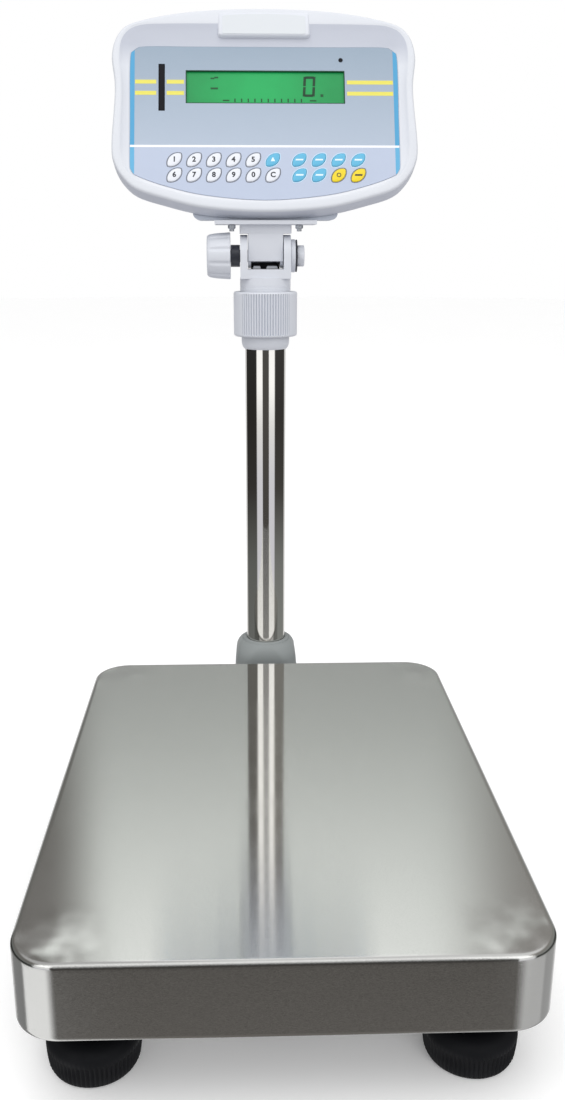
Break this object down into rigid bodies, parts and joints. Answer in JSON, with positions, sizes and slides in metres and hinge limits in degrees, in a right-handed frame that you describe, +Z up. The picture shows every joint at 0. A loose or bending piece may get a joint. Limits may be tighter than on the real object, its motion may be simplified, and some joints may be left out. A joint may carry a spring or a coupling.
{
  "type": "bench scale",
  "caption": "Bench weighing scale: stainless pan on a levelling base, rear column, and a swivelling, tilting indicator head with display and keypad.",
  "frame": {"origin": "on the floor, in the middle of the scale's bounding box", "axes": "+X to the scale's right as the operator sees it, +Y away from the operator towards the column, +Z up"},
  "size_m": [0.3, 0.5388, 0.6479],
  "materials": {
    "brushed_stainless": "brushed along the width",
    "polished_tube": "polished",
    "frame_paint": "textured black paint",
    "cell_aluminium": "machined",
    "zinc_steel": "zinc plated",
    "black_rubber": "matte",
    "boot_grey": "moulded",
    "neck_grey": "moulded, fine texture",
    "case_white": "moulded, satin",
    "case_grey": "moulded, satin",
    "panel_blue": "printed film",
    "display_green": "backlit window",
    "dark_plastic": "dark, smooth",
    "circuit_board": "solder mask",
    "battery_case": "moulded",
    "key_white": "embossed film",
    "key_blue": "embossed film",
    "key_yellow": "embossed film"
  },
  "bodies": {
    "base": {"base_frame": "frame_paint", "load_cell": "cell_aluminium", "spirit_level": "dark_plastic", "column_bracket": "zinc_steel", "column_boot": "boot_grey", "column_tube": "polished_tube", "column_ferrule": "neck_grey"},
    "platform": {"cell_spacer": "cell_aluminium", "pan_support": "frame_paint", "pan_buffer_front_left": "black_rubber", "pan_buffer_front_right": "black_rubber", "pan_buffer_rear_left": "black_rubber", "pan_buffer_rear_right": "black_rubber"},
    "pan": {"weighing_pan": "brushed_stainless"},
    "foot_front_left": {"foot_front_left": "black_rubber"},
    "foot_front_right": {"foot_front_right": "black_rubber"},
    "foot_rear_left": {"foot_rear_left": "black_rubber"},
    "foot_rear_right": {"foot_rear_right": "black_rubber"},
    "lock_ring": {"lock_ring": "neck_grey"},
    "swivel": {"swivel_yoke": "neck_grey", "tilt_bolt": "zinc_steel", "knob_sleeve": "dark_plastic", "friction_washer": "neck_grey", "toothed_washer": "zinc_steel", "tilt_nut": "neck_grey"},
    "knob": {"tilt_knob": "neck_grey"},
    "head": {"head_bracket": "neck_grey", "bracket_screw_left": "zinc_steel", "bracket_screw_right": "zinc_steel", "front_case": "case_white", "rear_case": "case_grey", "name_plate": "case_white", "overlay_panel": "panel_blue", "display_window": "display_green", "display_module": "dark_plastic", "light_bar_window": "dark_plastic", "main_board": "circuit_board", "battery": "battery_case", "power_inlet": "dark_plastic", "serial_port": "zinc_steel"},
    "key_1": {"key_1": "key_white"},
    "key_2": {"key_2": "key_white"},
    "key_3": {"key_3": "key_white"},
    "key_4": {"key_4": "key_white"},
    "key_5": {"key_5": "key_white"},
    "key_import": {"key_import": "key_blue"},
    "key_low": {"key_low": "key_blue"},
    "key_high": {"key_high": "key_blue"},
    "key_percent": {"key_percent": "key_blue"},
    "key_count": {"key_count": "key_blue"},
    "key_6": {"key_6": "key_white"},
    "key_7": {"key_7": "key_white"},
    "key_8": {"key_8": "key_white"},
    "key_9": {"key_9": "key_white"},
    "key_0": {"key_0": "key_white"},
    "key_clear": {"key_clear": "key_white"},
    "key_unit": {"key_unit": "key_blue"},
    "key_print": {"key_print": "key_blue"},
    "key_zero": {"key_zero": "key_yellow"},
    "key_tare": {"key_tare": "key_yellow"}
  },
  "joints": [
    {"name": "platform_deflection", "type": "slide", "parent": "base", "child": "platform", "axis": [0, 0, -1], "range_m": [0, 0.0005], "stiffness_N_per_m": 600000},
    {"name": "pan_lift", "type": "slide", "parent": "platform", "child": "pan", "axis": [0, 0, 1], "range_m": [0, 0.06]},
    {"name": "foot_front_left_level", "type": "slide", "parent": "base", "child": "foot_front_left", "axis": [0, 0, -1], "range_m": [-0.0035, 0.008]},
    {"name": "foot_front_right_level", "type": "slide", "parent": "base", "child": "foot_front_right", "axis": [0, 0, -1], "range_m": [-0.0035, 0.008]},
    {"name": "foot_rear_left_level", "type": "slide", "parent": "base", "child": "foot_rear_left", "axis": [0, 0, -1], "range_m": [-0.0035, 0.008]},
    {"name": "foot_rear_right_level", "type": "slide", "parent": "base", "child": "foot_rear_right", "axis": [0, 0, -1], "range_m": [-0.0035, 0.008]},
    {"name": "lock_ring_turn", "type": "hinge", "parent": "base", "child": "lock_ring", "pos_m": [0, 0.1756, 0.4036], "axis": [0, 0, 1], "range_deg": [0, 180]},
    {"name": "head_swivel", "type": "hinge", "parent": "base", "child": "swivel", "pos_m": [0, 0.1756, 0.422], "axis": [0, 0, 1], "range_deg": [-170, 170]},
    {"name": "head_tilt", "type": "hinge", "parent": "swivel", "child": "head", "pos_m": [0, 0.1756, 0.4512], "axis": [-1, 0, 0], "range_deg": [-30, 45]},
    {"name": "tilt_knob_turn", "type": "hinge", "parent": "swivel", "child": "knob", "pos_m": [-0.0392, 0.1756, 0.4512], "axis": [-1, 0, 0], "range_deg": [0, 360]},
    {"name": "key_1_press", "type": "slide", "parent": "head", "child": "key_1", "axis": [0, 0.9135, -0.4067], "range_m": [0, 0.0005], "stiffness_N_per_m": 3000},
    {"name": "key_2_press", "type": "slide", "parent": "head", "child": "key_2", "axis": [0, 0.9135, -0.4067], "range_m": [0, 0.0005], "stiffness_N_per_m": 3000},
    {"name": "key_3_press", "type": "slide", "parent": "head", "child": "key_3", "axis": [0, 0.9135, -0.4067], "range_m": [0, 0.0005], "stiffness_N_per_m": 3000},
    {"name": "key_4_press", "type": "slide", "parent": "head", "child": "key_4", "axis": [0, 0.9135, -0.4067], "range_m": [0, 0.0005], "stiffness_N_per_m": 3000},
    {"name": "key_5_press", "type": "slide", "parent": "head", "child": "key_5", "axis": [0, 0.9135, -0.4067], "range_m": [0, 0.0005], "stiffness_N_per_m": 3000},
    {"name": "key_import_press", "type": "slide", "parent": "head", "child": "key_import", "axis": [0, 0.9135, -0.4067], "range_m": [0, 0.0005], "stiffness_N_per_m": 3000},
    {"name": "key_low_press", "type": "slide", "parent": "head", "child": "key_low", "axis": [0, 0.9135, -0.4067], "range_m": [0, 0.0005], "stiffness_N_per_m": 3000},
    {"name": "key_high_press", "type": "slide", "parent": "head", "child": "key_high", "axis": [0, 0.9135, -0.4067], "range_m": [0, 0.0005], "stiffness_N_per_m": 3000},
    {"name": "key_percent_press", "type": "slide", "parent": "head", "child": "key_percent", "axis": [0, 0.9135, -0.4067], "range_m": [0, 0.0005], "stiffness_N_per_m": 3000},
    {"name": "key_count_press", "type": "slide", "parent": "head", "child": "key_count", "axis": [0, 0.9135, -0.4067], "range_m": [0, 0.0005], "stiffness_N_per_m": 3000},
    {"name": "key_6_press", "type": "slide", "parent": "head", "child": "key_6", "axis": [0, 0.9135, -0.4067], "range_m": [0, 0.0005], "stiffness_N_per_m": 3000},
    {"name": "key_7_press", "type": "slide", "parent": "head", "child": "key_7", "axis": [0, 0.9135, -0.4067], "range_m": [0, 0.0005], "stiffness_N_per_m": 3000},
    {"name": "key_8_press", "type": "slide", "parent": "head", "child": "key_8", "axis": [0, 0.9135, -0.4067], "range_m": [0, 0.0005], "stiffness_N_per_m": 3000},
    {"name": "key_9_press", "type": "slide", "parent": "head", "child": "key_9", "axis": [0, 0.9135, -0.4067], "range_m": [0, 0.0005], "stiffness_N_per_m": 3000},
    {"name": "key_0_press", "type": "slide", "parent": "head", "child": "key_0", "axis": [0, 0.9135, -0.4067], "range_m": [0, 0.0005], "stiffness_N_per_m": 3000},
    {"name": "key_clear_press", "type": "slide", "parent": "head", "child": "key_clear", "axis": [0, 0.9135, -0.4067], "range_m": [0, 0.0005], "stiffness_N_per_m": 3000},
    {"name": "key_unit_press", "type": "slide", "parent": "head", "child": "key_unit", "axis": [0, 0.9135, -0.4067], "range_m": [0, 0.0005], "stiffness_N_per_m": 3000},
    {"name": "key_print_press", "type": "slide", "parent": "head", "child": "key_print", "axis": [0, 0.9135, -0.4067], "range_m": [0, 0.0005], "stiffness_N_per_m": 3000},
    {"name": "key_zero_press", "type": "slide", "parent": "head", "child": "key_zero", "axis": [0, 0.9135, -0.4067], "range_m": [0, 0.0005], "stiffness_N_per_m": 3000},
    {"name": "key_tare_press", "type": "slide", "parent": "head", "child": "key_tare", "axis": [0, 0.9135, -0.4067], "range_m": [0, 0.0005], "stiffness_N_per_m": 3000}
  ]
}
